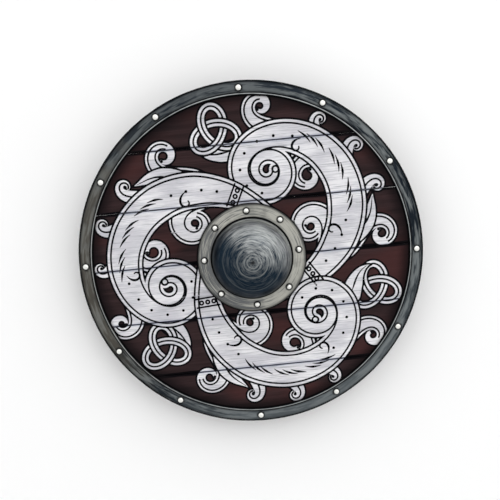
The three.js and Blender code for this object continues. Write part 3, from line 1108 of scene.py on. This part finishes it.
def boss():
    inner_z, apex, boss_radius = boss_low.z, boss_high.z, boss_high.x
    flange_z = inner_z + BOSS_SHEET
    groove_z = flange_z - GROOVE_DEPTH
    groove_outer = DOME_RADIUS + GROOVE_WIDTH
    dome = arc((0, groove_z), (DOME_RADIUS, apex - groove_z), 0, 90, 150, DOME_FULLNESS)
    radius = dome[:, 0]
    for place, share in SPIN_MARKS:
        dome[:, 1] -= DEEPEST_MARK * share * nearness(radius - place, 0.7 * MM)
    dome[:, 1] -= DOME_RIPPLE * (1 + sway(radius, 3.5 * MM, 12, 9)) * np.clip(radius / (4 * MM), 0, 1)
    dome[:, 1] -= DIMPLE_DEPTH * nearness(radius, DIMPLE)
    dome[-1, 0] = 0
    shell = arc((0, inner_z), (DOME_RADIUS - BOSS_SHEET, apex - BOSS_SHEET - inner_z), 90, 0, 30,
                DOME_FULLNESS)
    shell[0, 0] = 0
    flange = line((boss_radius - FLANGE_LIP, flange_z), (groove_outer + 0.3 * MM, flange_z + FLANGE_DISH),
                  1.4 * MM)
    profile = np.vstack([
        shell,
        line(shell[-1], (boss_radius - 0.4 * MM, inner_z), 5 * MM)[1:],
        arc((boss_radius - FLANGE_LIP, flange_z - FLANGE_LIP), (FLANGE_LIP, FLANGE_LIP), 0, 90, 5),
        flange[1:],
        [(groove_outer, flange_z + FLANGE_DISH - 0.3 * MM), (groove_outer - 0.1 * MM, groove_z)],
        dome,
    ])
    points, faces = spun(profile, BOSS_STEPS)
    made = piece("boss_shell", points, faces, boss_steel, "boss", crease=50)
    x, y, z = places(made).T
    radius, upper = np.hypot(x, y), z > inner_z + 0.5 * MM
    on_dome = np.clip((groove_outer - radius) / (0.8 * MM), 0, 1)
    turned_rings = sum(share * nearness(radius - place, 0.9 * MM) for place, share in SPIN_MARKS)
    # Darker in the groove and at the dimple, with painted shade up the steep foot of the dome, higher on
    # its lower side, and painted contact shadow round each rivet
    foot_shade_reach = 16 * MM - 6 * MM * y / np.maximum(radius, MM)
    grime = np.maximum.reduce([
        1.8 * nearness(radius - groove_outer + GROOVE_WIDTH / 2, 1.5 * MM),
        1.7 * nearness(z - groove_z, foot_shade_reach) * on_dome,
        nearness(radius, 1.5 * DIMPLE),
        rivet_contact_shadow(x, y, nodes_named("boss_rivet"), 4.5 * MM),
    ])
    # The lip mark is painted shade on the flange's turned edge, the edge mark a painted highlight by the
    # groove
    mark(made, dome=on_dome,
         crown=nearness(radius, 26 * MM),
         turned=on_dome * turned_rings,
         shoulder=on_dome * np.clip((radius / DOME_RADIUS - 0.55) / 0.3, 0, 1),
         edge=0.7 * nearness(radius - groove_outer - 1.4 * MM, 1.0 * MM),
         lip=0.92 * nearness(radius - boss_radius, 3.0 * MM) * upper,
         grime=np.clip(grime, 0, 1) * upper)


def rivet(node, name, seed):
    low, high = boxes[node]
    random = np.random.default_rng(seed)
    head = (high.x - low.x) / 2
    # Each head is driven a little lower than the next
    height = HEAD_HEIGHT * random.uniform(0.86, 1.0)
    head_z, tail_z = high.z - HEAD_HEIGHT, low.z + TAIL_LIFT
    profile = np.vstack([
        arc((0, tail_z), (RIVET_TAIL, TAIL_LIFT), -90, 0, 5),
        [(RIVET_SHANK, tail_z), (RIVET_SHANK, head_z), (head - HEAD_EDGE, head_z)],
        arc((0, head_z + 0.25 * MM), (head, height - 0.25 * MM), 0, 90, 9),
    ])
    profile[0, 0] = profile[-1, 0] = 0
    points, faces = spun(profile, RIVET_STEPS)
    tilt = random.uniform(0, 2 * math.pi)
    lean = points[:, 0] * math.cos(tilt) + points[:, 1] * math.sin(tilt)
    points[:, 2] -= np.where(points[:, 2] > head_z + HEAD_EDGE, 0.05 * (lean + head), 0)
    points[:, :2] += middle(node)
    made = piece(name, points, faces, rivet_steel, node, crease=50)
    x, y, z = places(made).T
    # Painted shade on the steep lower flank of the head
    flank_shade = np.clip(1.7 - (z - head_z) / (0.9 * MM), 0, 1)
    off_shank = np.hypot(x - middle(node)[0], y - middle(node)[1]) > RIVET_SHANK * 1.5
    mark(made, grime=flank_shade * off_shank)


# Grip, battens and screws

def bar_section(half, low, high, edge):
    """A bar's outline across its length, square against the boards and eased below."""
    return np.vstack([
        arc((half - edge, low + edge), (edge, edge), -90, 0, BAR_CORNER_STEPS),
        line((half, high), (-half, high), half / 3),
        arc((-half + edge, low + edge), (edge, edge), 180, 270, BAR_CORNER_STEPS),
    ])


def bar(name, node, finish, shape_at, screws):
    """A bar along Y, with its ends eased and its screw seats sunk.
    shape_at gives the half width and the edge's radius at distances along it."""
    low, high = boxes[node]
    centre, _ = middle(node)
    turn = np.radians(np.linspace(0, 90, 5))
    eased = WOOD_EDGE * (1 - np.cos(turn))
    levels = np.concatenate([
        low.y + eased,
        line((low.y + WOOD_EDGE, 0), (high.y - WOOD_EDGE, 0), BAR_STEP)[1:-1, 0],
        high.y - eased[::-1],
    ])
    sections = []
    for level, half, edge in zip(levels, *shape_at(levels)):
        to_end = min(level - low.y, high.y - level, WOOD_EDGE) / WOOD_EDGE
        inset = WOOD_EDGE * (1 - math.sqrt(1 - (1 - to_end) ** 2))
        outline = bar_section(half - inset, low.z + inset, high.z, edge)
        sections.append(np.column_stack([
            centre + outline[:, 0], np.full(len(outline), level), outline[:, 1],
        ]))
    points, faces = lofted(sections)
    made = piece(name, points, faces, finish, node)
    cut(made, *screw_seats(screws, low.z))
    x, y, z = places(made).T
    half, _ = shape_at(y)
    corner = np.clip(1 - (half - np.abs(x - centre)) / (3 * MM), 0, 1)
    mark(made, edge=corner * np.clip(1 - (z - low.z) / (3 * MM), 0, 1))
    return made


def screw_seats(screws, low):
    """The points and faces of the countersunk seats of some screws."""
    mouth, shank = SCREW_HEAD + SCREW_PLAY, SCREW_SHANK + SCREW_PLAY
    seat = low + SCREW_SUNK
    outside, deep = low - 2 * MM, low + 10 * MM
    profile = [(0, outside), (mouth, outside), (mouth, seat), (shank, seat + SCREW_HEAD_DEPTH),
               (shank, deep), (0, deep)]
    hole, sides = spun(profile, 32)
    points = [hole + [*middle(screw), 0] for screw in screws]
    return np.vstack(points), np.vstack([sides + k * len(hole) for k in range(len(screws))])


def cut(made, points, faces):
    """Takes a shape out of a piece, for good."""
    cutter = solid("cutter", points, faces)
    step = made.modifiers.new("cut", "BOOLEAN")
    step.object = cutter
    step.operation = "DIFFERENCE"
    step.solver = "EXACT"
    evaluated = made.evaluated_get(bpy.context.evaluated_depsgraph_get())
    mesh = bpy.data.meshes.new_from_object(evaluated)
    made.modifiers.clear()
    made.data = mesh
    mesh.set_sharp_from_angle(angle=math.radians(35))
    bpy.data.objects.remove(cutter)


def grip_shape(levels):
    """Waisted where the hand is, and as wide as the grip's box at its ends."""
    low, high = boxes["grip"]
    share = np.clip((np.abs(levels) - GRIP_HAND / 2) / GRIP_TAPER, 0, 1)
    share = share * share * (3 - 2 * share)
    half = GRIP_WAIST / 2 * (1 - share) + (high.x - low.x) / 2 * share
    return half, GRIP_HAND_EDGE * (1 - share) + WOOD_EDGE * share


def batten_shape(levels):
    low, high = boxes["batten_left"]
    return np.full(len(levels), (high.x - low.x) / 2), np.full(len(levels), WOOD_EDGE)


def grip():
    made = bar("hand_grip", "grip", grip_wood, grip_shape, nodes_named("grip_screw"))
    mark(made, held=nearness(places(made)[:, 1], GRIP_HELD))


def screw(node, seed):
    """A countersunk wood screw, with its slot turned at random."""
    low, high = boxes[node]
    shoulder = low.z + SCREW_HEAD_DEPTH
    profile = [(0, low.z), (SCREW_HEAD - 0.25 * MM, low.z), (SCREW_HEAD, low.z + 0.2 * MM),
               (SCREW_SHANK, shoulder), (SCREW_SHANK, high.z - 2 * MM), (0, high.z)]
    points, faces = spun(profile, RIVET_STEPS)
    points[:, :2] += middle(node)
    made = piece(node.replace("screw", "wood_screw"), points, faces, screw_steel, node)
    turn = np.random.default_rng(seed).uniform(0, math.pi)
    along = np.array([math.cos(turn), math.sin(turn)]) * SCREW_HEAD * 1.5
    across = np.array([-math.sin(turn), math.cos(turn)]) * SCREW_SLOT / 2
    corners = middle(node) + [along + across, across - along, -along - across, along - across]
    ends = [np.column_stack([corners, np.full(4, low.z + lift)]) for lift in (-SLOT_DEPTH, SLOT_DEPTH)]
    cut(made, *lofted(ends))
    z = places(made)[:, 2]
    mark(made, grime=np.clip((z - low.z) / (1.2 * MM), 0, 0.9))


# Studio

def aimed(name, data, place, target, up=Vector((0, 1, 0))):
    """An object at a place, with its -Z towards the target and its Y as near to up as can be."""
    made = bpy.data.objects.new(name, data)
    back = (place - target).normalized()
    right = up.cross(back).normalized()
    turn = Matrix((right, back.cross(right), back)).transposed()
    made.matrix_world = Matrix.Translation(place) @ turn.to_4x4()
    bpy.context.scene.collection.objects.link(made)
    return made


def camera():
    face = Vector((0, 0, boxes["plank_3"][1].z))
    data = bpy.data.cameras.new("camera")
    data.lens = CAMERA_LENS
    data.clip_start = 0.05
    up = Vector((math.sin(BOARD_SLANT), math.cos(BOARD_SLANT), 0))
    bpy.context.scene.camera = aimed("camera", data, face + CAMERA_AWAY, face + LOOK_AT, up)


def floor():
    finish, tree, shader = new_finish("Pale studio floor", specular=0.0)
    feed(shader, Base_Color=(0.99, 0.99, 0.99, 1), Roughness=0.9)
    reach = 6
    corners = [(-reach, -reach, 0), (reach, -reach, 0), (reach, reach, 0), (-reach, reach, 0)]
    made = solid("floor", corners, [(0, 1, 2, 3)])
    made.data.materials.append(finish)


def soft_light(name, heading, height, away, size, power):
    """A square lamp, at a compass heading in the picture, its height angle and its distance."""
    turn, rise = math.radians(heading) + BOARD_SLANT, math.radians(height)
    data = bpy.data.lights.new(name, "AREA")
    data.shape = "SQUARE"
    data.size = size
    data.energy = power
    flat = Vector((math.sin(turn), math.cos(turn), 0)) * math.cos(rise)
    aimed(name, data, (flat + Vector((0, 0, math.sin(rise)))) * away, Vector((0, 0, 0)))


def studio():
    """A white sky, brighter towards the top of the picture, and one soft lamp.
    What the sky lights directly has more of it from low down, for a deep soft shadow on the floor."""
    world = bpy.data.worlds.new("studio")
    world.use_nodes = True
    tree = world.node_tree
    backdrop = tree.nodes["Background"]
    backdrop.inputs["Color"].default_value = (1, 1, 1, 1)
    turn = math.radians(SKY_HEADING) + BOARD_SLANT
    toward = add(tree, "TexCoord")["Generated"]
    lean = vector_calc("DOT_PRODUCT", toward, (math.sin(turn), math.cos(turn), 0))["Value"]
    even = lean * SKY_LEAN + SKY
    height = add(tree, "SeparateXYZ", {0: toward})["Z"].calc("ABSOLUTE")
    glow = (1.0 - height).clamped().calc("POWER", SKY_FALL) * LOW_SKY + HIGH_SKY
    diffuse = add(tree, "LightPath")["Is Diffuse Ray"]
    share = add(tree, "Mix", {0: diffuse, 2: 1.0, 3: glow}, data_type="FLOAT")[0]
    connect(backdrop.inputs["Strength"], even * share)
    world.cycles.sampling_method = "NONE"
    bpy.context.scene.world = world
    bpy.context.scene.view_settings.view_transform = "Standard"
    soft_light("key", heading=25, height=50, away=1.8, size=0.8, power=3)


camera()
floor()
studio()
paint_boards([board(index) for index in range(BOARD_COUNT)])
rim()
boss()
for number, node in enumerate(nodes_named("rim_rivet"), 1):
    rivet(node, f"rim_stud_{number:02d}", number)
for number, node in enumerate(nodes_named("boss_rivet"), 1):
    rivet(node, f"boss_stud_{number}", 20 + number)
grip()
for side in ("left", "right"):
    bar(f"{side}_batten", f"batten_{side}", batten_wood, batten_shape,
        nodes_named(f"batten_{side}_screw"))
screw_nodes = [
    *nodes_named("grip_screw"),
    *nodes_named("batten_left_screw"),
    *nodes_named("batten_right_screw"),
]
for number, node in enumerate(screw_nodes):
    screw(node, 90 + number)
